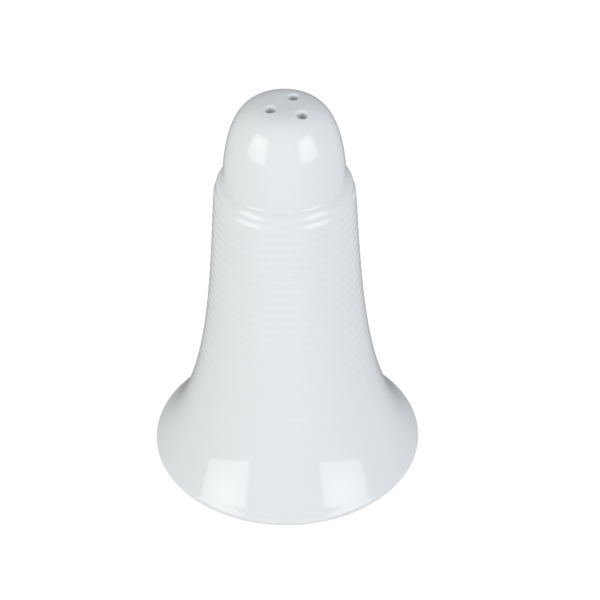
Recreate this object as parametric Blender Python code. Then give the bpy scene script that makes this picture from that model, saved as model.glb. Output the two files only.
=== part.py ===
"""A table salt shaker: a slip-cast, glazed porcelain body and the soft stopper that closes its filling hole.

Units are metres and +Z is up. The origin is the middle of the foot, on the surface that the shaker stands on.
"""

import math

import bpy
from mathutils import Vector

MM = 0.001

# Overall size
HEIGHT = 85.0 * MM
FOOT_RADIUS = 28.0 * MM

# Dome: a thimble that stands on the shoulder, blunt at the crown
DOME_HEIGHT = 16.8 * MM
DOME_RADIUS = 12.0 * MM
DOME_SIDE_POWER = 1.8
DOME_CROWN_POWER = 4.1

# Shoulder and column
SHOULDER_WIDTH = 2.0 * MM
SHOULDER_HEIGHT = 4.6 * MM
CREASE_FILLET = 1.2 * MM
COLUMN_TAPER = math.radians(4.3)

# Flare: one Bezier curve from the column to the foot's lip
FLARE_TOP_HANDLE = 15.7 * MM
FLARE_FOOT_HANDLE = 15.8 * MM
FLARE_FOOT_SLOPE = math.radians(48.0)
LIP_RADIUS = 1.0 * MM
LIP_HEIGHT = 2.2 * MM
LIP_UNDERCUT = math.radians(45.0)

# Turned rings on the shoulder, the column and the flare
RING_PITCH = 2.0 * MM
RING_DEPTH = 0.18 * MM
RING_COUNT = 27
FADING_RINGS = 6

# Foot ring, recess and cast wall
FOOT_BEVEL = 1.7 * MM
FOOT_RING_WIDTH = 2.3 * MM
RECESS_DEPTH = 4.0 * MM
RECESS_DRAFT = 1.0 * MM
FLOOR_THICKNESS = 3.2 * MM
WALL = 3.0 * MM

# Pour holes, set a little off the body's axis
POUR_HOLE_COUNT = 3
POUR_HOLE_RADIUS = 0.95 * MM
POUR_LIP = 0.45 * MM
POUR_CIRCLE_RADIUS = 3.5 * MM
POUR_CIRCLE_CENTRE = Vector((0.9 * MM, -0.9 * MM, 0.0))
POUR_FIRST_ANGLE = math.radians(75.0)

# Filling hole and stopper
FILLING_HOLE_RADIUS = 9.0 * MM
STOPPER_GAP = 0.3 * MM
FLANGE_OVERLAP = 2.0 * MM
FLANGE_THICKNESS = 1.4 * MM
SHANK_LENGTH = 8.5 * MM
SHANK_WALL = 2.0 * MM
SHANK_TIP = 1.5 * MM
SHANK_CHAMFER = 1.0 * MM
SEAL_RIB_HEIGHT = 0.5 * MM
SEAL_RIB_LENGTH = 0.9 * MM
GRIP_BAR_WIDTH = 2.4 * MM
GRIP_BAR_INSET = 0.5 * MM

# Faceting
BODY_SEGMENTS = 48
HOLE_SEGMENTS = 16
DOME_STEPS = 9
SHOULDER_STEPS = 24
CREASE_STEPS = 3
FLARE_STEPS = 96
LIP_STEPS = 6
CAVITY_FLARE_STEPS = 8

COLUMN_RADIUS = DOME_RADIUS + SHOULDER_WIDTH
CREASE_Z = HEIGHT - DOME_HEIGHT
COLUMN_TOP_Z = CREASE_Z - SHOULDER_HEIGHT
FLOOR_TOP_Z = RECESS_DEPTH + FLOOR_THICKNESS
FOOT_RING_OUTER = FOOT_RADIUS - FOOT_BEVEL
FOOT_RING_INNER = FOOT_RING_OUTER - FOOT_RING_WIDTH
OVERCUT = 1.0 * MM


def clear_scene():
    for obj in list(bpy.data.objects):
        bpy.data.objects.remove(obj, do_unlink=True)


def make_material(name, colour, roughness):
    material = bpy.data.materials.new(name)
    material.use_nodes = True
    shader = material.node_tree.nodes["Principled BSDF"]
    shader.inputs["Base Color"].default_value = (*colour, 1.0)
    shader.inputs["Roughness"].default_value = roughness
    shader.inputs["Metallic"].default_value = 0.0
    return material


def turned(name, outline, segments):
    """A solid turned around Z from an outline of (radius, z) points that runs down its outer side."""
    mesh = bpy.data.meshes.new(name)
    points = [(radius, 0.0, z) for radius, z in outline]
    edges = [(index, index + 1) for index in range(len(outline) - 1)]
    mesh.from_pydata(points, edges, [])
    obj = bpy.data.objects.new(name, mesh)
    bpy.context.collection.objects.link(obj)
    screw = obj.modifiers.new("turn", "SCREW")
    screw.axis = "Z"
    screw.steps = segments
    screw.render_steps = segments
    screw.use_merge_vertices = True
    screw.merge_threshold = 0.01 * MM
    screw.use_smooth_shade = True
    return obj


def hide_cutter(obj):
    obj.hide_render = True
    obj.display_type = "WIRE"


def cut(obj, cutter):
    hide_cutter(cutter)
    difference = obj.modifiers.new(cutter.name, "BOOLEAN")
    difference.operation = "DIFFERENCE"
    difference.solver = "EXACT"
    difference.object = cutter


def dome_outline(radius, base_z, crown_z):
    """The dome from its crown down to its base, as a superellipse: a blunt crown on sloping sides."""
    points = []
    for step in range(DOME_STEPS + 1):
        angle = math.pi / 2 * step / DOME_STEPS
        across = math.sin(angle) ** (2 / DOME_CROWN_POWER)
        up = max(math.cos(angle), 0.0) ** (2 / DOME_SIDE_POWER)
        points.append((radius * across, base_z + (crown_z - base_z) * up))
    return points


def dome_surface_z(radius):
    """The height of the dome's outer surface at a distance from the axis."""
    across = radius / DOME_RADIUS
    up = (1 - across**DOME_CROWN_POWER) ** (1 / DOME_SIDE_POWER)
    return CREASE_Z + DOME_HEIGHT * up


def dome_surface_radius(height):
    """The radius of the dome's outer surface at a height above the crease."""
    up = height / DOME_HEIGHT
    across = (1 - up**DOME_SIDE_POWER) ** (1 / DOME_CROWN_POWER)
    return DOME_RADIUS * across


def shoulder_outline():
    """The rounded shoulder from the crease at the dome's base out to the top of the column."""
    points = []
    for step in range(SHOULDER_STEPS):
        angle = math.pi / 2 * step / SHOULDER_STEPS
        radius = DOME_RADIUS + (COLUMN_RADIUS - DOME_RADIUS) * math.sin(angle)
        points.append((radius, COLUMN_TOP_Z + SHOULDER_HEIGHT * math.cos(angle)))
    return points


def lip_point(angle):
    """A point on the rounded lip, at an angle up from the foot's widest circle."""
    centre_radius = FOOT_RADIUS - LIP_RADIUS
    return Vector((centre_radius + LIP_RADIUS * math.cos(angle), LIP_HEIGHT + LIP_RADIUS * math.sin(angle)))


def flare_outline(steps):
    """The column and the flare, as one Bezier curve down from the shoulder to the lip."""
    top = Vector((COLUMN_RADIUS, COLUMN_TOP_Z))
    foot = lip_point(FLARE_FOOT_SLOPE)
    top_handle = top + FLARE_TOP_HANDLE * Vector((math.sin(COLUMN_TAPER), -math.cos(COLUMN_TAPER)))
    foot_handle = foot + FLARE_FOOT_HANDLE * Vector((-math.sin(FLARE_FOOT_SLOPE), math.cos(FLARE_FOOT_SLOPE)))
    points = []
    for step in range(steps + 1):
        t = step / steps
        point = (1 - t) ** 3 * top + 3 * (1 - t) ** 2 * t * top_handle
        point += 3 * (1 - t) * t**2 * foot_handle + t**3 * foot
        points.append(tuple(point))
    return points


def outward_normal(before, after):
    """The normal of an outline that runs downwards, on its outer side."""
    run = (Vector(after) - Vector(before)).normalized()
    return Vector((-run.y, run.x))


def point_along(outline, distance):
    """The point at a distance along an outline, and the outward normal there."""
    for before, after in zip(outline, outline[1:]):
        step = (Vector(after) - Vector(before)).length
        if distance <= step:
            break
        distance -= step
    point = Vector(before).lerp(Vector(after), min(distance / step, 1.0))
    return point, outward_normal(before, after)


def outline_length(outline):
    return sum((Vector(after) - Vector(before)).length for before, after in zip(outline, outline[1:]))


def crease_outline(flank):
    """The crease, which the glaze fills: a soft curve from the dome's side past the corner to the first crest."""
    start = Vector((dome_surface_radius(CREASE_FILLET), CREASE_Z + CREASE_FILLET))
    corner = Vector(flank[0])
    crest, _ = point_along(flank, RING_PITCH / 2)
    points = []
    for step in range(CREASE_STEPS):
        t = step / CREASE_STEPS
        points.append(tuple((1 - t) ** 2 * start + 2 * (1 - t) * t * corner + t**2 * crest))
    return points


def ringed_outline(flank):
    """The flank with its rings: crests on the flank and grooves into it, half a pitch apart, fading out below."""
    length = outline_length(flank)
    rings = min(RING_COUNT, int(length / RING_PITCH))
    points = []
    for half in range(1, 2 * rings + 1):
        point, normal = point_along(flank, half * RING_PITCH / 2)
        rings_left = rings - half / 2
        depth = RING_DEPTH * min(1.0, rings_left / FADING_RINGS)
        is_groove = half % 2 == 0
        points.append(tuple(point - normal * depth * is_groove))
    plain_start = rings * RING_PITCH
    plain_steps = max(1, round((length - plain_start) / RING_PITCH))
    for step in range(1, plain_steps):
        point, _ = point_along(flank, plain_start + (length - plain_start) * step / plain_steps)
        points.append(tuple(point))
    return points


def lip_and_foot_outline():
    """The lip from the end of the flare round the widest circle, and the bevel under it to the flat foot ring."""
    points = []
    for step in range(LIP_STEPS + 1):
        angle = FLARE_FOOT_SLOPE - (FLARE_FOOT_SLOPE + LIP_UNDERCUT) * step / LIP_STEPS
        points.append(tuple(lip_point(angle)))
    points.append((FOOT_RING_OUTER, 0.0))
    points.append((FOOT_RING_INNER, 0.0))
    return points


def underside_outline():
    """The recess inside the foot ring, and the wall of the filling hole up to the chamber's floor."""
    return [
        (FOOT_RING_INNER - RECESS_DRAFT, RECESS_DEPTH),
        (FILLING_HOLE_RADIUS, RECESS_DEPTH),
        (FILLING_HOLE_RADIUS, FLOOR_TOP_Z),
    ]


def cavity_outline():
    """The chamber from its floor up to its crown: the outer shape, one wall thickness further in."""
    flare = flare_outline(CAVITY_FLARE_STEPS)
    inside = []
    for index, point in enumerate(flare):
        before = flare[max(index - 1, 0)]
        after = flare[min(index + 1, len(flare) - 1)]
        inner = Vector(point) - WALL * outward_normal(before, after)
        if inner.y > FLOOR_TOP_Z:
            inside.append(tuple(inner))
    floor_radius = inside[-1][0] + (inside[-1][1] - FLOOR_TOP_Z) / math.tan(FLARE_FOOT_SLOPE)
    dome = dome_outline(DOME_RADIUS - WALL, CREASE_Z - SHOULDER_HEIGHT / 2, HEIGHT - WALL)
    return [(floor_radius, FLOOR_TOP_Z), *reversed(inside), *reversed(dome)]


def pour_hole_cutters():
    """One turned cutter for each pour hole, with a softened mouth at the dome's surface."""
    cutters = []
    for index in range(POUR_HOLE_COUNT):
        angle = POUR_FIRST_ANGLE + math.tau * index / POUR_HOLE_COUNT
        direction = Vector((math.cos(angle), math.sin(angle), 0.0))
        place = POUR_CIRCLE_CENTRE + POUR_CIRCLE_RADIUS * direction
        mouth_z = dome_surface_z(place.length)
        outline = [
            (0.0, OVERCUT),
            (POUR_HOLE_RADIUS + POUR_LIP + OVERCUT, OVERCUT),
            (POUR_HOLE_RADIUS, -POUR_LIP),
            (POUR_HOLE_RADIUS, -WALL - 2 * OVERCUT),
            (0.0, -WALL - 2 * OVERCUT),
        ]
        cutter = turned(f"pour_hole_cutter_{index + 1}", outline, HOLE_SEGMENTS)
        cutter.location = (place.x, place.y, mouth_z)
        cutters.append(cutter)
    return cutters


def make_body():
    flank = shoulder_outline() + flare_outline(FLARE_STEPS)
    dome = dome_outline(DOME_RADIUS, CREASE_Z, HEIGHT)
    outline = [point for point in dome if point[1] > CREASE_Z + CREASE_FILLET]
    outline += crease_outline(flank)
    outline += ringed_outline(flank)
    outline += lip_and_foot_outline()
    outline += underside_outline()
    outline += cavity_outline()
    body = turned("porcelain_body", outline, BODY_SEGMENTS)
    for cutter in pour_hole_cutters():
        cut(body, cutter)
    body.data.materials.append(make_material("white_glaze", (0.80, 0.82, 0.82), 0.08))
    return body


def stopper_outline():
    """The stopper from its tip down: chamfer, sealing ribs, flange, and the hollow that fingers pull it by."""
    shank = FILLING_HOLE_RADIUS - STOPPER_GAP
    neck = shank - SEAL_RIB_HEIGHT
    flange_top = RECESS_DEPTH - STOPPER_GAP
    flange_bottom = flange_top - FLANGE_THICKNESS
    tip = flange_top + SHANK_LENGTH
    flange = FILLING_HOLE_RADIUS + FLANGE_OVERLAP
    hollow = neck - SHANK_WALL
    edge = FLANGE_THICKNESS / 4
    rib_tops = (FLOOR_TOP_Z + SEAL_RIB_LENGTH, flange_top + 2 * SEAL_RIB_LENGTH)
    points = [(0.0, tip), (neck - SHANK_CHAMFER, tip), (neck, tip - SHANK_CHAMFER)]
    for rib_top in rib_tops:
        points.append((neck, rib_top + SEAL_RIB_HEIGHT))
        points.append((shank, rib_top))
        points.append((shank, rib_top - SEAL_RIB_LENGTH))
        points.append((neck, rib_top - SEAL_RIB_LENGTH - SEAL_RIB_HEIGHT))
    points += [
        (neck, flange_top),
        (flange - edge, flange_top),
        (flange, flange_top - edge),
        (flange, flange_bottom + edge),
        (flange - edge, flange_bottom),
        (hollow, flange_bottom),
        (hollow, tip - SHANK_TIP),
        (0.0, tip - SHANK_TIP),
    ]
    return points


def grip_bar():
    """The bar across the stopper's hollow, run a little way into the wall at both ends and into the tip."""
    flange_bottom = RECESS_DEPTH - STOPPER_GAP - FLANGE_THICKNESS
    ceiling = RECESS_DEPTH - STOPPER_GAP + SHANK_LENGTH - SHANK_TIP
    neck = FILLING_HOLE_RADIUS - STOPPER_GAP - SEAL_RIB_HEIGHT
    low = Vector((-(neck - SHANK_WALL / 2), -GRIP_BAR_WIDTH / 2, flange_bottom + GRIP_BAR_INSET))
    high = Vector((neck - SHANK_WALL / 2, GRIP_BAR_WIDTH / 2, ceiling + SHANK_TIP / 2))
    corners = [(x, y, z) for x in (low.x, high.x) for y in (low.y, high.y) for z in (low.z, high.z)]
    faces = [(0, 1, 3, 2), (4, 6, 7, 5), (0, 4, 5, 1), (2, 3, 7, 6), (0, 2, 6, 4), (1, 5, 7, 3)]
    mesh = bpy.data.meshes.new("grip_bar")
    mesh.from_pydata(corners, [], faces)
    bar = bpy.data.objects.new("grip_bar", mesh)
    bpy.context.collection.objects.link(bar)
    return bar


def make_stopper():
    stopper = turned("filling_stopper", stopper_outline(), BODY_SEGMENTS)
    bar = grip_bar()
    hide_cutter(bar)
    join = stopper.modifiers.new("grip bar", "BOOLEAN")
    join.operation = "UNION"
    join.solver = "EXACT"
    join.object = bar
    stopper.data.materials.append(make_material("soft_plastic", (0.72, 0.72, 0.69), 0.45))
    return stopper


def main():
    clear_scene()
    make_body()
    make_stopper()


main()
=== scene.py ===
# %% [markdown]
# # A white porcelain salt shaker
#
# This lesson builds the looks of a bell-shaped salt shaker round a model that a
# CAD program made. The CAD model is the frame: it says how big everything is and
# how the stopper moves. Every piece made here lies in the same space, in metres.

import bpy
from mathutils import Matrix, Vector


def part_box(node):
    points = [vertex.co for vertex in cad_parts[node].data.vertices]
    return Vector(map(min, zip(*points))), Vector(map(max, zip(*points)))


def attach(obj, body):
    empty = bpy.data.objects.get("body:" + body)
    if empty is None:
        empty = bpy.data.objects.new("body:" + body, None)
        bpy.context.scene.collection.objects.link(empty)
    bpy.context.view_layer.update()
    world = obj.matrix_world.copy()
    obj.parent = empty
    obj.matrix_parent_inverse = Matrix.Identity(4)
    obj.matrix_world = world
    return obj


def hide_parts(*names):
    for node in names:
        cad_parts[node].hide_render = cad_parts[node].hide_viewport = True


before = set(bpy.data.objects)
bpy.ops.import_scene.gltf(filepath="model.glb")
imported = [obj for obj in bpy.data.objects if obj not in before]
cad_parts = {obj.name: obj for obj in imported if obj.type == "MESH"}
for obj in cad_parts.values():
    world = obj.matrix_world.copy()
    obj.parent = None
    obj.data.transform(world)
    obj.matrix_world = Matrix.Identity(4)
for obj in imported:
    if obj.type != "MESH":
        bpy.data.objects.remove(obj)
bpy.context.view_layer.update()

# %% [markdown]
# ## Sizes
#
# Blender works in metres, and a shaker is easier to read in millimetres, so one
# constant turns the one into the other. The big sizes come from the boxes of the
# two CAD pieces. The others repeat the potter's shape: a blunt dome that sits on
# a rounded shoulder, and a column that flares out to the foot.

# %% Sizes
import itertools
import math
import random

import bpy
import numpy as np
from mathutils import Quaternion, Vector
from mathutils.geometry import delaunay_2d_cdt

MM = 0.001

body_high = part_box("porcelain_body")[1]
stopper_low, stopper_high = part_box("filling_stopper")

HEIGHT = body_high.z
FOOT_RADIUS = body_high.x
DOME_HEIGHT = 16.8 * MM
DOME_RADIUS = 12.0 * MM
DOME_SIDE_POWER = 1.8
DOME_CROWN_POWER = 4.1
SHOULDER_WIDTH = 2.0 * MM
SHOULDER_HEIGHT = 4.6 * MM
COLUMN_RADIUS = DOME_RADIUS + SHOULDER_WIDTH
CREASE_Z = HEIGHT - DOME_HEIGHT
COLUMN_TOP_Z = CREASE_Z - SHOULDER_HEIGHT
WALL = 3.0 * MM
print("shaker", round(HEIGHT / MM, 2), "mm high, foot radius", round(FOOT_RADIUS / MM, 2), "mm")

# %% [markdown]
# ## Helpers for outlines
#
# A potter's wheel makes round things, so one outline of radius and height says
# nearly everything. Blender's Screw modifier could turn it, but here the rows of
# points are turned in code, because the crown with its holes has to join the
# top row point for point. The helpers even out the points along an outline, say
# which way is out of the clay, and round corners as a glaze does.


# %% Outline helpers
def arc_lengths(outline):
    """How far along the outline each of its points is."""
    steps = np.hypot(*np.diff(outline, axis=0).T)
    return np.concatenate([[0.0], np.cumsum(steps)])


def points_along(outline, wanted):
    """Points on the outline at the wanted lengths along it."""
    along = arc_lengths(outline)
    return np.column_stack([np.interp(wanted, along, outline[:, axis]) for axis in (0, 1)])


def evenly(outline, spacing):
    """The same outline with its points about one spacing apart."""
    outline = np.asarray(outline, float)
    length = arc_lengths(outline)[-1]
    count = max(2, round(length / spacing) + 1)
    return points_along(outline, np.linspace(0.0, length, count))


def outward(run):
    """The direction out of the clay at each point, from the way the outline runs there."""
    across = np.column_stack([-run[:, 1], run[:, 0]])
    return across / np.linalg.norm(across, axis=1)[:, None]


# %% Bends
def curve_through(start, corner, end, count):
    """A soft bend from start to end that leans towards the corner: a quadratic Bezier curve."""
    t = np.linspace(0.0, 1.0, count)[:, None]
    return (1 - t) ** 2 * np.array(start) + 2 * (1 - t) * t * np.array(corner) + t**2 * np.array(end)


def rounded(corners, count=7):
    """An outline through corners of (radius, height, rounding), each corner bent over its rounding."""
    points = [np.array(corner[:2]) for corner in corners]
    rows = [points[0][None]]
    for before, here, after, corner in zip(points, points[1:], points[2:], corners[1:]):
        rounding = corner[2]
        back = (before - here) / np.linalg.norm(before - here)
        ahead = (after - here) / np.linalg.norm(after - here)
        rows.append(curve_through(here + rounding * back, here, here + rounding * ahead, count))
    rows.append(points[-1][None])
    return np.concatenate(rows)


example_corner = rounded([(0.0, 0.0, 0.0), (1.0, 0.0, 0.2), (1.0, 1.0, 0.0)])
print("a rounded corner takes", len(example_corner), "points")

# %% [markdown]
# ## The dome
#
# The top of the shaker is a thimble with sloping sides and a blunt crown. A
# sphere would be too pointed and a cylinder too square. A superellipse lies
# between them: two powers set how full the sides and the crown are.


# %% The dome
def superellipse(radius, base_z, crown_z, count=400):
    """A dome from its crown down to its base."""
    angle = np.linspace(0.0, math.pi / 2, count)
    across = np.sin(angle) ** (2 / DOME_CROWN_POWER)
    up = np.maximum(np.cos(angle), 0.0) ** (2 / DOME_SIDE_POWER)
    return np.column_stack([radius * across, base_z + (crown_z - base_z) * up])


def dome_z(distance, radius, base_z, crown_z):
    """The height of that dome's surface at a distance from the axis."""
    share = (1 - (distance / radius) ** DOME_CROWN_POWER) ** (1 / DOME_SIDE_POWER)
    return base_z + (crown_z - base_z) * share


OUTER_DOME = (DOME_RADIUS, CREASE_Z, HEIGHT)
INNER_DOME = (DOME_RADIUS - WALL, CREASE_Z - SHOULDER_HEIGHT / 2, HEIGHT - WALL)
CROWN_RADIUS = 6.4 * MM

dome_side = superellipse(*OUTER_DOME)
dome_side = dome_side[dome_side[:, 0] > CROWN_RADIUS]
crown_edge = [CROWN_RADIUS, dome_z(CROWN_RADIUS, *OUTER_DOME)]
dome_side = np.vstack([crown_edge, dome_side])
print("dome side from", np.round(dome_side[0] / MM, 2), "to", np.round(dome_side[-1] / MM, 2))

# %% [markdown]
# ## Shoulder, column and flare
#
# Below the dome the clay steps out over a rounded shoulder, falls as a nearly
# straight column and opens into the foot. The shoulder is a quarter of an
# ellipse. The column and the flare are one cubic Bezier curve, so that they meet
# without a bump, and the curve ends where the round lip begins.

# %% Shoulder, column and flare
COLUMN_TAPER = math.radians(4.3)
FLARE_TOP_HANDLE = 15.7 * MM
FLARE_FOOT_HANDLE = 15.8 * MM
FLARE_FOOT_SLOPE = math.radians(48.0)
LIP_RADIUS = 1.0 * MM
LIP_HEIGHT = 2.2 * MM
SHOULDER_POINTS = 60
FLARE_POINTS = 600


def lip_point(angle):
    """A point on the round lip, at an angle up from the foot's widest circle."""
    centre = np.array([FOOT_RADIUS - LIP_RADIUS, LIP_HEIGHT])
    return centre + LIP_RADIUS * np.array([math.cos(angle), math.sin(angle)])


def flare_curve(count):
    """The column and the flare, from the shoulder down to the lip."""
    t = np.linspace(0.0, 1.0, count)[:, None]
    top = np.array([COLUMN_RADIUS, COLUMN_TOP_Z])
    foot = lip_point(FLARE_FOOT_SLOPE)
    down_column = np.array([math.sin(COLUMN_TAPER), -math.cos(COLUMN_TAPER)])
    up_flare = np.array([-math.sin(FLARE_FOOT_SLOPE), math.cos(FLARE_FOOT_SLOPE)])
    top_handle = top + FLARE_TOP_HANDLE * down_column
    foot_handle = foot + FLARE_FOOT_HANDLE * up_flare
    near_top = (1 - t) ** 3 * top + 3 * (1 - t) ** 2 * t * top_handle
    return near_top + 3 * (1 - t) * t**2 * foot_handle + t**3 * foot


quarter = np.linspace(0.0, math.pi / 2, SHOULDER_POINTS)[:-1]
shoulder = np.column_stack(
    [
        DOME_RADIUS + SHOULDER_WIDTH * np.sin(quarter),
        COLUMN_TOP_Z + SHOULDER_HEIGHT * np.cos(quarter),
    ]
)
flank = np.vstack([shoulder, flare_curve(FLARE_POINTS)])
flank_length = arc_lengths(flank)[-1]
print("flank", round(flank_length / MM, 1), "mm from the crease to the lip")

# %% [markdown]
# ## Turned rings
#
# Shallow rings run round the shoulder, the column and the upper flare. A bump
# map could fake them, but their crests break up the reflections of the lamps and
# they are part of the shape, so they are cut into the outline itself. A hand or
# a worn tool never leaves them all alike: each ring gets its own small shift and
# depth, from a seeded random generator, so every run gives the same shaker. The
# groove under the shoulder is the deepest, and the lower rings fade out slowly.

# %% Turned rings
RING_PITCH = 2.0 * MM
RING_DEPTH = 0.058 * MM
RING_DEPTH_SPREAD = (0.75, 1.2)
RING_COUNT = 27
RING_SHIFT = 0.06 * MM
FADING_RINGS = 12
FIRST_CREST = 0.45 * MM
SHOULDER_RING_PITCHES = (1.35 * MM, 2.1 * MM)
SHOULDER_RING_DEPTHS = (0.03 * MM, 0.22 * MM)
POINTS_PER_RING = 10
PLAIN_STEP = 0.7 * MM
WHEEL_SEED = 7

wheel = random.Random(WHEEL_SEED)
crests = [FIRST_CREST]
for pitch in SHOULDER_RING_PITCHES:
    crests.append(crests[-1] + pitch)
while len(crests) < RING_COUNT:
    crests.append(crests[-1] + RING_PITCH + wheel.uniform(-RING_SHIFT, RING_SHIFT))
fading = [min(1.0, (RING_COUNT - 1 - ring) / FADING_RINGS) for ring in range(RING_COUNT)]
depths = [RING_DEPTH * wheel.uniform(*RING_DEPTH_SPREAD) * share for share in fading]
depths[: len(SHOULDER_RING_DEPTHS)] = SHOULDER_RING_DEPTHS
print(len(crests), "rings,", round(max(depths) / MM, 3), "mm at the deepest")

# %% Cut the rings
sampled = np.concatenate(
    [
        np.arange(FIRST_CREST, crests[-1], RING_PITCH / POINTS_PER_RING),
        np.arange(crests[-1], flank_length, PLAIN_STEP),
    ]
)
turn = np.interp(sampled, crests, np.arange(RING_COUNT))
groove = 0.5 - 0.5 * np.cos(math.tau * turn)
groove_depth = np.array(depths)[turn.astype(int)] * groove

smooth_flank = points_along(flank, sampled)
flank_run = np.gradient(smooth_flank, sampled, axis=0)
ringed_flank = smooth_flank - outward(flank_run) * groove_depth[:, None]
print(len(ringed_flank), "points on the ringed flank")

# %% [markdown]
# ## The whole outline
#
# The glaze fills the crease between dome and shoulder with a soft bend, and it
# rounds the lip and the foot. Under the foot there is a flat ring that the
# shaker stands on, then a recess, and in the middle the round filling hole. The
# outline goes in through that hole and comes up again inside, one wall
# thickness from the outer shape, since the shaker was cast hollow.

# %% Sizes of the crease, the foot and the chamber
CREASE_FILLET = 0.5 * MM
CREASE_POINTS = 20
LIP_POINTS = 16
FOOT_RING_OUTER = 26.1 * MM
FOOT_RING_INNER = 24.0 * MM
RECESS_DEPTH = 4.0 * MM
RECESS_DRAFT = 1.0 * MM
FLOOR_TOP_Z = 7.2 * MM
FILLING_HOLE_RADIUS = 9.0 * MM
LIP_LOW_ANGLE = math.radians(-45.0)
FOOT_CORNER_ROUNDING = 0.4 * MM
UNDER_LIP_END = FOOT_RING_OUTER - 0.5 * MM
UNDERSIDE_START = FOOT_RING_OUTER - 0.7 * MM
FLOOR_ROUNDING = 2.0 * MM
CHAMBER_POINTS = 80
CHAMBER_TOP_ROUNDING = 0.2 * MM
DOME_STEP = 0.4 * MM
UNDERSIDE_STEP = 0.6 * MM
CHAMBER_STEP = 1.2 * MM
CEILING_STEP = 0.6 * MM
print("foot ring", round((FOOT_RING_OUTER - FOOT_RING_INNER) / MM, 1), "mm wide")

# %% Crease, lip and foot
first_crest, crest_run = smooth_flank[0], flank_run[0]
back_to_dome = (first_crest[0] - DOME_RADIUS) / crest_run[0]
crease_corner = first_crest - back_to_dome * crest_run
above_crease = dome_side[dome_side[:, 1] > crease_corner[1] + CREASE_FILLET]
crease = curve_through(above_crease[-1], crease_corner, first_crest, CREASE_POINTS)[1:-1]

round_the_lip = np.linspace(FLARE_FOOT_SLOPE, LIP_LOW_ANGLE, LIP_POINTS)
lip = np.array([lip_point(angle) for angle in round_the_lip])[1:]
lip_end, bevel_foot = lip[-1], lip[-1, 0] - lip[-1, 1]
under_lip = rounded(
    [
        (*lip_end, 0.0),
        (bevel_foot, 0.0, FOOT_CORNER_ROUNDING),
        (UNDER_LIP_END, 0.0, 0.0),
    ]
)[1:]
print("lip ends", np.round(lip_end / MM, 2), "and meets the foot at", round(bevel_foot / MM, 2), "mm")

# %% Underside and chamber
flare = flare_curve(CHAMBER_POINTS)
chamber_wall = (flare - WALL * outward(np.gradient(flare, axis=0)))[::-1]
chamber_wall = chamber_wall[chamber_wall[:, 1] > FLOOR_TOP_Z + FLOOR_ROUNDING]
floor_corner = chamber_wall[0, 0] + FLOOR_ROUNDING / math.tan(FLARE_FOOT_SLOPE)

underside = rounded(
    [
        (UNDERSIDE_START, 0.0, 0.0),
        (FOOT_RING_INNER, 0.0, 0.5 * MM),
        (FOOT_RING_INNER - RECESS_DRAFT, RECESS_DEPTH, 1.2 * MM),
        (FILLING_HOLE_RADIUS, RECESS_DEPTH, 0.35 * MM),
        (FILLING_HOLE_RADIUS, FLOOR_TOP_Z, 0.5 * MM),
        (floor_corner, FLOOR_TOP_Z, FLOOR_ROUNDING),
        (*chamber_wall[1], 0.0),
    ]
)
inner_dome = superellipse(*INNER_DOME)
inner_dome = inner_dome[inner_dome[:, 0] > CROWN_RADIUS][::-1]
inner_edge = [CROWN_RADIUS, dome_z(CROWN_RADIUS, *INNER_DOME)]
chamber_top = rounded(
    [
        (*chamber_wall[-2], 0.0),
        (*chamber_wall[-1], CHAMBER_TOP_ROUNDING),
        (*inner_dome[0], 0.0),
    ]
)[:-1]
print("chamber", round(2 * floor_corner / MM, 1), "mm across at its floor")

# %% The whole outline
outside_rows = [evenly(above_crease, DOME_STEP), crease, ringed_flank[:-1], lip, under_lip]
inside_rows = [
    evenly(underside, UNDERSIDE_STEP),
    evenly(chamber_wall[1:-2], CHAMBER_STEP)[1:],
    chamber_top,
    evenly(np.vstack([inner_dome, inner_edge]), CEILING_STEP),
]
outline = np.vstack(outside_rows + inside_rows)
print(len(outline), "points on the outline")

# %% [markdown]
# ## The crown and its pour holes
#
# Three holes go through the crown. A Boolean would cut them, but it leaves long
# thin triangles round each hole, which catch the light. Instead the crown is
# planned flat: rings of points round the middle, and closer rings round each
# hole. A Delaunay triangulation joins them, and then every point is lifted onto
# the dome. Near a hole the surface bends down over a small radius, since glaze
# never leaves a sharp edge. The holes were pierced by hand in the soft clay, so
# their circle lies a little off the middle.

# %% Pour holes
SEGMENTS = 160
HOLE_SEGMENTS = 48
POUR_HOLE_RADIUS = 0.95 * MM
POUR_LIP = 0.5 * MM
POUR_CIRCLE_RADIUS = 3.5 * MM
POUR_CIRCLE_CENTRE = np.array([0.9 * MM, -0.9 * MM])
POUR_FIRST_ANGLE = 75.0
POUR_HOLES = 3
LIP_RINGS = 7
FILLING_GAP = 0.6


def circle(centre, radius, count):
    """Points round a circle, in the flat plan."""
    angle = np.linspace(0.0, math.tau, count, endpoint=False)
    return np.array(centre) + radius * np.column_stack([np.cos(angle), np.sin(angle)])


hole_turn = 360.0 / POUR_HOLES
hole_angles = [math.radians(POUR_FIRST_ANGLE + hole_turn * hole) for hole in range(POUR_HOLES)]
hole_centres = [
    POUR_CIRCLE_CENTRE + POUR_CIRCLE_RADIUS * np.array([math.cos(angle), math.sin(angle)])
    for angle in hole_angles
]
lip_angles = np.linspace(math.pi / 2, 0.0, LIP_RINGS)
lip_radii = POUR_HOLE_RADIUS + POUR_LIP * (1 - np.sin(lip_angles))
print("holes at", [tuple(np.round(centre / MM, 2)) for centre in hole_centres])


# %% Plan of the crown
def hole_distance(points):
    """How far each point of the plan is from the nearest hole's middle."""
    return np.min([np.linalg.norm(points - centre, axis=1) for centre in hole_centres], axis=0)


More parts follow.
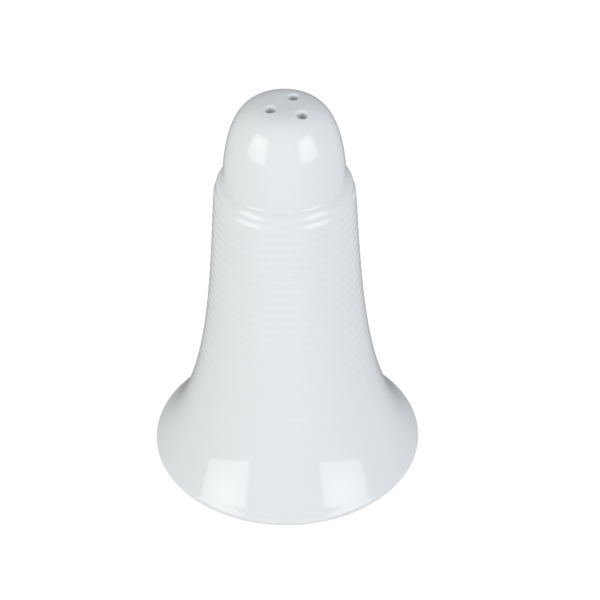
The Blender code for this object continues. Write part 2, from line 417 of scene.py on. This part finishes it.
def crown_plan():
    """The plan's points and triangles. The rim comes first, then the three holes' own circles."""
    loops = [circle((0.0, 0.0), CROWN_RADIUS, SEGMENTS)]
    for centre in hole_centres:
        loops.append(circle(centre, lip_radii[0], HOLE_SEGMENTS))
    for centre in hole_centres:
        loops += [circle(centre, radius, HOLE_SEGMENTS) for radius in lip_radii[1:]]
    spacing = math.tau * CROWN_RADIUS / SEGMENTS
    ring_count = int(CROWN_RADIUS / spacing)
    filling = [np.zeros((1, 2))]
    filling += [circle((0.0, 0.0), spacing * ring, 6 * ring) for ring in range(1, ring_count)]
    filling = np.vstack(filling)
    filling = filling[hole_distance(filling) > lip_radii[-1] + FILLING_GAP * spacing]
    edges, first = [], 0
    for loop in loops:
        count = len(loop)
        edges += [(first + step, first + (step + 1) % count) for step in range(count)]
        first += count
    points = np.vstack(loops + [filling])
    flat = [Vector(point / MM) for point in points]
    _, _, faces, sources, _, _ = delaunay_2d_cdt(flat, edges, [], 1, 1e-6)
    origin = [ids[0] for ids in sources]
    triangles = np.array([[origin[corner] for corner in face] for face in faces])
    middles = points[triangles].mean(axis=1)
    return points, triangles[hole_distance(middles) > POUR_HOLE_RADIUS]


plan, plan_triangles = crown_plan()
print(len(plan), "points and", len(plan_triangles), "triangles in the crown")

# %% [markdown]
# ## From outline to mesh
#
# Now the outline is turned: one row of points for each point of the outline, and
# a strip of four-sided faces between two rows. The crown's plan closes the top
# twice, once outside and once as the chamber's ceiling, and short tubes join the
# two through the holes. Every point is shared, so the mesh is one closed skin.
# Two numbers are stored on each point for the glaze: how much it pools there,
# and whether the point is inside.


# %% Rows and strips of points
def turned_rows(outline, segments):
    """Points round the axis for each point of an outline, and the faces between the rows."""
    spokes = circle((0.0, 0.0), 1.0, segments)
    rows = np.empty((len(outline), segments, 3))
    rows[:, :, :2] = outline[:, 0, None, None] * spokes[None]
    rows[:, :, 2] = outline[:, 1, None]
    faces = []
    for row in range(len(outline) - 1):
        upper, lower = row * segments, (row + 1) * segments
        for step in range(segments):
            after = (step + 1) % segments
            faces.append((upper + step, lower + step, lower + after, upper + after))
    return rows.reshape(-1, 3), faces


def stitched(first_loop, second_loop):
    """The strip of faces between two loops with the same number of points."""
    first, second = first_loop.tolist(), second_loop.tolist()
    count = len(first)
    strip = []
    for step in range(count):
        after = (step + 1) % count
        strip.append((first[step], first[after], second[after], second[step]))
    return strip


outline_points, outline_faces = turned_rows(outline, SEGMENTS)
print(len(outline_points), "points in", len(outline), "turned rows")


# %% Lift the plan onto the dome
def lifted(points, dome, dip):
    """The plan's points on a dome, with the surface dipping into each hole."""
    height = dome_z(np.linalg.norm(points, axis=1), *dome) - dip
    return np.column_stack([points, height])


def lip_dip(points):
    """How far the surface bends down at each point of the plan, round the holes."""
    inwards = np.clip((lip_radii[-1] - hole_distance(points)) / POUR_LIP, 0.0, 1.0)
    return POUR_LIP * (1 - np.sqrt(1 - inwards**2))


crown_top = lifted(plan, OUTER_DOME, lip_dip(plan))
chamber_ceiling = lifted(plan, INNER_DOME, 0.0)
print("crown from", round(crown_top[:, 2].min() / MM, 2), "to", round(crown_top[:, 2].max() / MM, 2), "mm")

# %% Close the body
TUBE_SHARES = (0.25, 0.5, 0.75)


def body_shell():
    """All points and faces of the hollow body."""
    points, faces = outline_points, list(outline_faces)
    rim = np.arange(SEGMENTS)
    beyond_rim = np.arange(len(plan) - SEGMENTS)
    top_ids = np.concatenate([rim, len(points) + beyond_rim])
    ceiling_rim = len(points) - SEGMENTS + rim
    points = np.vstack([points, crown_top[SEGMENTS:]])
    ceiling_ids = np.concatenate([ceiling_rim, len(points) + beyond_rim])
    points = np.vstack([points, chamber_ceiling[SEGMENTS:]])
    faces += [tuple(face) for face in top_ids[plan_triangles].tolist()]
    faces += [tuple(face[::-1]) for face in ceiling_ids[plan_triangles].tolist()]
    for hole in range(POUR_HOLES):
        loop = SEGMENTS + hole * HOLE_SEGMENTS + np.arange(HOLE_SEGMENTS)
        above, below = top_ids[loop], ceiling_ids[loop]
        upper = above
        for share in TUBE_SHARES:
            made = (1 - share) * points[above] + share * points[below]
            lower = len(points) + np.arange(HOLE_SEGMENTS)
            points = np.vstack([points, made])
            faces += stitched(upper, lower)
            upper = lower
        faces += stitched(upper, below)
    return points, faces


shell_points, shell_faces = body_shell()
print(len(shell_points), "points and", len(shell_faces), "faces in the body")


# %% Make the body
def make_mesh(name, points, faces):
    """A smooth-shaded mesh object."""
    mesh = bpy.data.meshes.new(name)
    mesh.from_pydata(points.tolist(), [], faces)
    mesh.shade_smooth()
    obj = bpy.data.objects.new(name, mesh)
    bpy.context.scene.collection.objects.link(obj)
    return obj


def store(obj, name, values):
    """Keeps one number for each point of a mesh, for a material to read."""
    attribute = obj.data.attributes.new(name, "FLOAT", "POINT")
    attribute.data.foreach_set("value", np.asarray(values, np.float32))


body = make_mesh("glazed_body", shell_points, shell_faces)
print(body.name, "is", round(body.dimensions.z / MM, 2), "mm high")

# %% [markdown]
# Glaze runs while it melts. It is thin on crests and on the rims of the holes,
# and it gathers in the grooves and in the crease. The groove's own wave gives
# that number, so the finish can follow the shape later. Poured glaze reaches past
# the filling hole, and from there on the rows count as inside.

# %% Where the glaze pools
CREASE_POOL = 0.3
GLAZED_UNDERSIDE_ROWS = 40

outside_count = sum(len(rows) for rows in outside_rows)
rings_start = sum(len(rows) for rows in outside_rows[:2])
pooled = np.zeros(len(outline))
crease_wave = np.sin(np.linspace(0.0, math.pi, len(crease)))
pooled[rings_start - len(crease) : rings_start] = CREASE_POOL * crease_wave
pooled[rings_start : rings_start + len(ringed_flank) - 1] = groove[:-1] * (groove_depth[:-1] > 0)
last_glazed_row = outside_count + GLAZED_UNDERSIDE_ROWS
is_inside = (np.arange(len(outline)) > last_glazed_row).astype(float)

turned_count = len(outline_points)
point_pool = np.zeros(len(shell_points))
point_pool[:turned_count] = np.repeat(pooled, SEGMENTS)
point_inside = np.zeros(len(shell_points))
point_inside[:turned_count] = np.repeat(is_inside, SEGMENTS)
ceiling_start = turned_count + len(plan) - SEGMENTS
point_inside[ceiling_start:] = 1.0
store(body, "glaze_pool", point_pool)
store(body, "inside", point_inside)
print(int(point_inside.sum()), "points inside")

# %% [markdown]
# ## The stopper
#
# A soft plastic stopper closes the filling hole from below. It was moulded in one
# piece: a hollow plug with two sealing ribs, a thin flange that rests under the
# floor, and a bar across the hollow for two fingers. The plug is turned from an
# outline with rounded corners. The bar is not round, so it is a bevelled block
# that a Boolean joins to the plug.

# %% Stopper outline
STOPPER_GAP = 0.3 * MM
SEAL_RIB_HEIGHT = 0.5 * MM
SEAL_RIB_LENGTH = 0.9 * MM
FLANGE_THICKNESS = 1.4 * MM
SHANK_WALL = 2.0 * MM
TIP_THICKNESS = 1.5 * MM
TIP_EDGE = 1.0 * MM
RIB_FOOT_ROUNDING = 0.12 * MM
RIB_EDGE_ROUNDING = 0.18 * MM
FLANGE_ROUNDING = 0.35 * MM
STOPPER_SEGMENTS = 128

shank = FILLING_HOLE_RADIUS - STOPPER_GAP
neck = shank - SEAL_RIB_HEIGHT
hollow = neck - SHANK_WALL
flange = stopper_high.x
tip_z = stopper_high.z
flange_low = stopper_low.z
flange_top = flange_low + FLANGE_THICKNESS

stopper_corners = [
    (0.0, tip_z, 0.0),
    (neck - TIP_EDGE, tip_z, 0.5 * MM),
    (neck, tip_z - TIP_EDGE, 0.4 * MM),
]
for rib_top in (FLOOR_TOP_Z + SEAL_RIB_LENGTH, flange_top + 2 * SEAL_RIB_LENGTH):
    stopper_corners += [
        (neck, rib_top + SEAL_RIB_HEIGHT, RIB_FOOT_ROUNDING),
        (shank, rib_top, RIB_EDGE_ROUNDING),
        (shank, rib_top - SEAL_RIB_LENGTH, RIB_EDGE_ROUNDING),
        (neck, rib_top - SEAL_RIB_LENGTH - SEAL_RIB_HEIGHT, RIB_FOOT_ROUNDING),
    ]
stopper_corners += [
    (neck, flange_top, 0.15 * MM),
    (flange, flange_top, FLANGE_ROUNDING),
    (flange, flange_low, FLANGE_ROUNDING),
    (hollow, flange_low, 0.4 * MM),
    (hollow, tip_z - TIP_THICKNESS, 0.6 * MM),
    (0.0, tip_z - TIP_THICKNESS, 0.0),
]
stopper_outline = rounded(stopper_corners, count=5)
print(len(stopper_outline), "points on the stopper's outline")


# %% Turn the plug
def closed_turn(name, outline, segments):
    """A turned solid whose outline starts and ends on the axis."""
    points, faces = turned_rows(outline[1:-1], segments)
    top, bottom = len(points), len(points) + 1
    last_row = len(points) - segments
    points = np.vstack([points, [(0.0, 0.0, outline[0, 1]), (0.0, 0.0, outline[-1, 1])]])
    for step in range(segments):
        after = (step + 1) % segments
        faces.append((top, step, after))
        faces.append((bottom, last_row + after, last_row + step))
    return make_mesh(name, points, faces)


stopper = closed_turn("stopper_plug", stopper_outline, STOPPER_SEGMENTS)
print(stopper.name, "is", round(stopper.dimensions.z / MM, 2), "mm high")


# %% Tools for the grip bar
def apply_modifiers(obj):
    """Replaces an object's mesh by what its modifiers make of it."""
    shown = obj.evaluated_get(bpy.context.evaluated_depsgraph_get())
    mesh = bpy.data.meshes.new_from_object(shown)
    obj.modifiers.clear()
    obj.data = mesh


def block(name, low, high, bevel):
    """A block with rounded edges, between its lowest and highest corners."""
    corners = list(itertools.product(*zip(low, high)))
    sides = [(0, 1, 3, 2), (4, 6, 7, 5), (0, 4, 5, 1), (2, 3, 7, 6), (0, 2, 6, 4), (1, 5, 7, 3)]
    obj = make_mesh(name, np.array(corners), sides)
    rounding = obj.modifiers.new("rounding", "BEVEL")
    rounding.width = bevel
    rounding.segments = 4
    apply_modifiers(obj)
    return obj


# %% Join the grip bar
BAR_HALF_WIDTH = 1.2 * MM
BAR_SETBACK = 0.5 * MM
BAR_BEVEL = 0.4 * MM
SMOOTH_ANGLE = math.radians(40.0)

bar_reach = neck - SHANK_WALL / 2
bar_low = (-bar_reach, -BAR_HALF_WIDTH, flange_low + BAR_SETBACK)
bar_high = (bar_reach, BAR_HALF_WIDTH, tip_z - TIP_THICKNESS / 2)
bar = block("grip_bar", bar_low, bar_high, BAR_BEVEL)
join = stopper.modifiers.new("join the bar", "BOOLEAN")
join.operation = "UNION"
join.solver = "EXACT"
join.object = bar
apply_modifiers(stopper)
stopper.data.shade_smooth()
stopper.data.set_sharp_from_angle(angle=SMOOTH_ANGLE)
bpy.data.objects.remove(bar)
print(len(stopper.data.polygons), "faces in the stopper")

# %% [markdown]
# ## Which piece goes with which body
#
# The body's glaze shell stands for the CAD body, and the plug for the CAD
# stopper. Each rides on its own moving body, so when the stopper is pulled the
# fine plug moves with it.

# %% Ride on the frame
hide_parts("porcelain_body")
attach(body, "body")
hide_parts("filling_stopper")
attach(stopper, "stopper")
print(body.name, "and", stopper.name, "ride on the frame")

# %% [markdown]
# ## Shader maths
#
# A shader is a graph of nodes, and graphs of maths are hard to read. This small
# class wraps one output socket, so that `1 - mask` or `mask * 0.3` adds the Math
# node by itself. Every other node comes from its one method `node`.


# %% Shader maths
class Wire:
    """One output socket of a shader's node tree, for use in expressions."""

    def __init__(self, socket):
        self.socket = socket

    @classmethod
    def node(cls, tree, kind, settings=None, sockets=None, output=0):
        """Adds a node of a type: first its settings, then the values or wires of its sockets."""
        made = tree.nodes.new("ShaderNode" + kind)
        for name, value in (settings or {}).items():
            setattr(made, name, value)
        for name, value in (sockets or {}).items():
            if isinstance(value, Wire):
                tree.links.new(value.socket, made.inputs[name])
            else:
                made.inputs[name].default_value = value
        return cls(made.outputs[output])

    def maths(self, operation, first, second):
        """Adds a Math node in the same tree."""
        return Wire.node(self.socket.id_data, "Math", {"operation": operation}, {0: first, 1: second})

    def __add__(self, other):
        return self.maths("ADD", self, other)

    def __sub__(self, other):
        return self.maths("SUBTRACT", self, other)

    def __mul__(self, other):
        return self.maths("MULTIPLY", self, other)

    def __rsub__(self, other):
        return self.maths("SUBTRACT", other, self)

    __radd__ = __add__
    __rmul__ = __mul__


print("a Wire can be added, subtracted and multiplied")


# %% Material helpers
def new_material(name):
    """An empty material, its node tree and its Principled shader."""
    material = bpy.data.materials.new(name)
    material.use_nodes = True
    tree = material.node_tree
    return material, tree, tree.nodes["Principled BSDF"]


def feed(shader, **wires):
    """Links wires to a shader's sockets, such as Base_Color for Base Color."""
    for name, wire in wires.items():
        shader.id_data.links.new(wire.socket, shader.inputs[name.replace("_", " ")])


def noise(tree, scale, detail=2.0, roughness=0.5):
    """Grey noise fixed to the piece, with a number of features per metre."""
    place = Wire.node(tree, "TexCoord", output="Object")
    sockets = {"Vector": place, "Scale": scale, "Detail": detail, "Roughness": roughness}
    return Wire.node(tree, "TexNoise", {"noise_dimensions": "3D"}, sockets)


def between(tree, value, low, high):
    """0 below low, 1 above high, and a smooth step from one to the other."""
    settings = {"interpolation_type": "SMOOTHSTEP"}
    sockets = {"Value": value, "From Min": low, "From Max": high, "To Min": 0.0, "To Max": 1.0}
    return Wire.node(tree, "MapRange", settings, sockets)


def blend_colours(tree, share, first, second):
    """A colour from the first to the second as the share goes from 0 to 1."""
    settings = {"data_type": "RGBA"}
    return Wire.node(tree, "Mix", settings, {0: share, 6: first, 7: second}, output=2)


def relief_bump(tree, height, depth, strength):
    """A bump of a small depth in metres."""
    sockets = {"Height": height, "Distance": depth, "Strength": strength}
    return Wire.node(tree, "Bump", sockets=sockets)


def scatter(shader, weight, radius, scale):
    """Lets light go a little way under the surface."""
    shader.inputs["Subsurface Weight"].default_value = weight
    shader.inputs["Subsurface Radius"].default_value = radius
    shader.inputs["Subsurface Scale"].default_value = scale


# %% [markdown]
# ## The glaze
#
# White porcelain under a clear glaze is nearly one colour, and still never flat.
# Where the glaze pools it looks a little cooler and deeper. Its surface has the
# faint waviness called orange peel, which bends the edges of the reflections.
# Inside, the glaze was only poured through and is thinner and duller. The foot
# ring was wiped clean before firing, since glaze would stick to the kiln shelf,
# so it is bare, warm and matt. Light goes a little way into the clay, which a
# trace of subsurface scattering shows.

# %% White glaze
GLAZE_CREST = (0.811, 0.837, 0.858, 1.0)
GLAZE_POOL = (0.772, 0.805, 0.829, 1.0)
GLAZE_INSIDE = (0.760, 0.765, 0.745, 1.0)
BARE_CLAY = (0.700, 0.670, 0.610, 1.0)
CLOUD_SCALE = 60.0
PATCH_SCALE = 35.0
PEEL_SCALE = 520.0
GRAIN_SCALE = 9000.0
WIPED_TO = (0.18 * MM, 0.26 * MM)
WIPING_WAVER = 0.25 * MM

glaze, tree, shader = new_material("white_glaze")
pool = Wire.node(tree, "Attribute", {"attribute_name": "glaze_pool"}, output="Fac")
inside = Wire.node(tree, "Attribute", {"attribute_name": "inside"}, output="Fac")
position = Wire.node(tree, "TexCoord", output="Object")
height = Wire.node(tree, "SeparateXYZ", sockets={"Vector": position}, output="Z")

cloud = noise(tree, CLOUD_SCALE, detail=3.0)
grain = noise(tree, GRAIN_SCALE)
ragged_edge = height + (cloud - 0.5) * WIPING_WAVER
bare = 1 - between(tree, ragged_edge, *WIPED_TO)
print("glaze is wiped off up to", round(WIPED_TO[1] / MM, 2), "mm")

# %% Glaze colour
POOL_STRENGTH = 0.4
PATCH_EDGES = (0.35, 0.65)

pool_share = pool * between(tree, noise(tree, PATCH_SCALE), *PATCH_EDGES) * POOL_STRENGTH
colour = blend_colours(tree, pool_share, GLAZE_CREST, GLAZE_POOL)
colour = blend_colours(tree, inside, colour, GLAZE_INSIDE)
colour = blend_colours(tree, bare * (0.75 + 0.25 * grain), colour, BARE_CLAY)
print("glaze colour from", GLAZE_CREST[:3], "to", GLAZE_POOL[:3])

# %% Glaze gloss and relief
GLAZE_ROUGHNESS = 0.045
CLOUD_ROUGHNESS = 0.03
INSIDE_ROUGHNESS = 0.12
BARE_ROUGHNESS = 0.55
PEEL_SHARE = 0.25
GLAZE_IOR = 1.5

roughness = GLAZE_ROUGHNESS + CLOUD_ROUGHNESS * cloud
roughness = roughness + inside * INSIDE_ROUGHNESS
roughness = roughness + bare * BARE_ROUGHNESS

peel = noise(tree, PEEL_SCALE, detail=1.0)
relief = peel * (1 - bare) * PEEL_SHARE + grain * bare
bump = relief_bump(tree, relief, 0.01 * MM, 0.6)
feed(shader, Base_Color=colour, Roughness=roughness, Normal=bump)
scatter(shader, 0.08, (1.0, 0.9, 0.8), 0.6 * MM)
shader.inputs["IOR"].default_value = GLAZE_IOR
body.data.materials.append(glaze)
print("glaze made with", len(tree.nodes), "nodes")

# %% [markdown]
# ## The soft plastic
#
# The stopper is a natural, milky plastic with a satin skin. Moulded plastic of
# this kind is cloudy rather than white: light scatters inside it, and its skin
# carries the fine grain of the mould. Some handling has polished it in patches.

# %% Soft plastic
PLASTIC_CLEAR = (0.705, 0.710, 0.680, 1.0)
PLASTIC_MILKY = (0.790, 0.790, 0.760, 1.0)
MILK_SCALE = 180.0
MILK_EDGES = (0.35, 0.65)
HANDLING_SCALE = 90.0
HANDLING_EDGES = (0.45, 0.7)
MOULD_SCALE = 4200.0
PLASTIC_ROUGHNESS = 0.46
POLISH = 0.12
MOULD_ROUGHNESS = 0.06
GRAIN_LOST = 0.6

plastic, tree, shader = new_material("soft_plastic")
milk = noise(tree, MILK_SCALE, detail=3.0)
handling = noise(tree, HANDLING_SCALE)
mould = noise(tree, MOULD_SCALE)
colour = blend_colours(tree, between(tree, milk, *MILK_EDGES), PLASTIC_CLEAR, PLASTIC_MILKY)
worn = between(tree, handling, *HANDLING_EDGES)
roughness = PLASTIC_ROUGHNESS - POLISH * worn + MOULD_ROUGHNESS * mould
bump = relief_bump(tree, mould * (1 - GRAIN_LOST * worn), 0.012 * MM, 0.7)
feed(shader, Base_Color=colour, Roughness=roughness, Normal=bump)
scatter(shader, 0.35, (1.0, 0.95, 0.85), 1.2 * MM)
stopper.data.materials.append(plastic)
print("plastic made with", len(tree.nodes), "nodes")

# %% [markdown]
# ## The white floor
#
# White porcelain on a white ground needs a floor that stays white next to it. A
# lit white sheet would turn grey under the shaker. So the sheet glows, as a light
# table does, and it glows more for the camera than for the shaker: the Light Path
# node tells the two apart. The sheet is clear from below, so that the foot and
# the stopper can be looked at, and reflections see the room instead of it.

# %% Floor
FLOOR_SIZE = 12.0
GLOW_ON_SHAKER = (0.44, 0.44, 0.44, 1.0)
GLOW_IN_CAMERA = (0.80, 0.80, 0.80, 1.0)
SHEET_GREY = (0.35, 0.35, 0.35, 1.0)

corners = np.array([(-1.0, -1.0, 0.0), (1.0, -1.0, 0.0), (1.0, 1.0, 0.0), (-1.0, 1.0, 0.0)])
floor = make_mesh("floor", corners * FLOOR_SIZE / 2, [(0, 1, 2, 3)])
paper, tree, shader = new_material("white_paper")
in_camera = Wire.node(tree, "LightPath", output="Is Camera Ray")
feed(shader, Emission_Color=blend_colours(tree, in_camera, GLOW_ON_SHAKER, GLOW_IN_CAMERA))
shader.inputs["Emission Strength"].default_value = 1.0
shader.inputs["Base Color"].default_value = SHEET_GREY
shader.inputs["Roughness"].default_value = 1.0
shader.inputs["Specular IOR Level"].default_value = 0.0
below = Wire.node(tree, "NewGeometry", output="Backfacing")
clear = Wire.node(tree, "BsdfTransparent")
one_sided = Wire.node(tree, "MixShader", sockets={0: below, 1: Wire(shader.outputs[0]), 2: clear})
tree.links.new(one_sided.socket, tree.nodes["Material Output"].inputs["Surface"])
floor.data.materials.append(paper)
floor.visible_glossy = False
print("floor", FLOOR_SIZE, "m across")

# %% [markdown]
# ## The light
#
# Two big softboxes stand low in front, to the left and to the right. Each shows
# as a bright window on the dome and on the foot, and each is brightest a little
# above its middle, as cloth in front of a bulb is. The room fills in the rest
# from all sides, a shade warmer from the left and bluer from the right. Low
# behind the shaker it is dark, which gives white things their thin grey edges.

# %% Lamps
SOFTBOX_DISTANCE = 0.95
HOT_SPOT = (0.5, 0.58, 0.0)
HOT_SPOT_STRENGTH = 1.4
HOT_SPOT_FALL = 0.62
HOT_SPOT_REACH = 0.6


def softbox(name, azimuth, width, low, high, radiance, colour):
    """An upright lamp that faces the shaker. Azimuth 0 is in front and 90 is to the right."""
    tall = high - low
    lamp = bpy.data.lights.new(name, "AREA")
    lamp.shape = "RECTANGLE"
    lamp.size = width
    lamp.size_y = tall
    lamp.energy = radiance * math.pi * width * tall
    lamp.color = colour
    lamp.use_nodes = True
    tree = lamp.node_tree
    place = Wire.node(tree, "NewGeometry", output="Parametric")
    offset = Wire.node(tree, "VectorMath", {"operation": "SUBTRACT"}, {0: place, 1: HOT_SPOT})
    from_spot = Wire.node(tree, "VectorMath", {"operation": "LENGTH"}, {0: offset}, output="Value")
    strength = HOT_SPOT_STRENGTH - HOT_SPOT_FALL * between(tree, from_spot, 0.0, HOT_SPOT_REACH)
    tree.links.new(strength.socket, tree.nodes["Emission"].inputs["Strength"])
    side = math.radians(azimuth)
    towards = Vector((math.sin(side), -math.cos(side), 0.0))
    obj = bpy.data.objects.new(name, lamp)
    obj.location = SOFTBOX_DISTANCE * towards + Vector((0.0, 0.0, (low + high) / 2))
    obj.rotation_euler = towards.to_track_quat("Z", "Y").to_euler()
    bpy.context.scene.collection.objects.link(obj)
    print(name, "of", round(width, 2), "by", round(tall, 2), "m")


softbox("softbox_left", -55.6, 0.676, 0.0, 0.77, 2.62, (1.0, 1.0, 0.96))
softbox("softbox_right", 50.6, 0.682, 0.02, 0.77, 2.45, (0.98, 1.0, 1.02))

# %% Room
ROOM_LOW = (0.41, 0.41, 0.41, 1.0)
ROOM_HIGH = (0.60, 0.60, 0.60, 1.0)
ROOM_BEHIND = (0.20, 0.20, 0.20, 1.0)
ROOM_LEFT_TINT = (0.96, 0.96, 0.94, 1.0)
ROOM_RIGHT_TINT = (1.04, 1.06, 1.10, 1.0)
ROOM_SEEN = (1.05, 1.05, 1.05, 1.0)
DARK_BEHIND = (0.62, 0.86)
LIGHT_ABOVE = (0.4, 0.75)

room = bpy.data.worlds.new("room")
room.use_nodes = True
bpy.context.scene.world = room
tree = room.node_tree
direction = Wire.node(tree, "TexCoord", output="Generated")
behind, upwards, sideways = [
    Wire.node(tree, "SeparateXYZ", sockets={"Vector": direction}, output=axis) for axis in "YZX"
]
light = blend_colours(tree, between(tree, upwards, 0.0, 0.9), ROOM_LOW, ROOM_HIGH)
tint = blend_colours(tree, between(tree, sideways, -1.0, 1.0), ROOM_LEFT_TINT, ROOM_RIGHT_TINT)
light = Wire.node(tree, "VectorMath", {"operation": "MULTIPLY"}, {0: light, 1: tint})
shade = between(tree, behind, *DARK_BEHIND) * (1 - between(tree, upwards, *LIGHT_ABOVE))
light = blend_colours(tree, shade, light, ROOM_BEHIND)
seen = Wire.node(tree, "LightPath", output="Is Camera Ray")
light = blend_colours(tree, seen, light, ROOM_SEEN)
tree.links.new(light.socket, tree.nodes["Background"].inputs["Color"])
bpy.context.scene.view_settings.view_transform = "Standard"
print("room made with", len(tree.nodes), "nodes")

# %% [markdown]
# ## The camera
#
# A camera close to a small thing bends its shape, and a far one flattens it. This
# one is 40 cm away and looks down by 38 degrees, so that the dome, the curve of
# the rings and the whole foot show. It aims a little to the right of the axis
# and leans by a third of a degree.

# %% Camera
CAMERA_DISTANCE = 400.0 * MM
CAMERA_ELEVATION = math.radians(38.08)
CAMERA_AIM = Vector((2.85 * MM, 0.0, 37.96 * MM))
CAMERA_ROLL = math.radians(-0.35)
LENS_LENGTH = 118.1
LENS_FILM = 36.0
LENS_NEAR = 0.01

lens = bpy.data.cameras.new("camera")
lens.sensor_width = LENS_FILM
lens.lens = LENS_LENGTH
lens.clip_start = LENS_NEAR
camera = bpy.data.objects.new("camera", lens)
backwards = Vector((0.0, -math.cos(CAMERA_ELEVATION), math.sin(CAMERA_ELEVATION)))
camera.location = CAMERA_AIM + CAMERA_DISTANCE * backwards
camera.rotation_mode = "QUATERNION"
lean = Quaternion((0.0, 0.0, 1.0), CAMERA_ROLL)
camera.rotation_quaternion = backwards.to_track_quat("Z", "Y") @ lean
bpy.context.scene.collection.objects.link(camera)
bpy.context.scene.camera = camera
print("camera at", tuple(round(value / MM, 1) for value in camera.location), "mm")
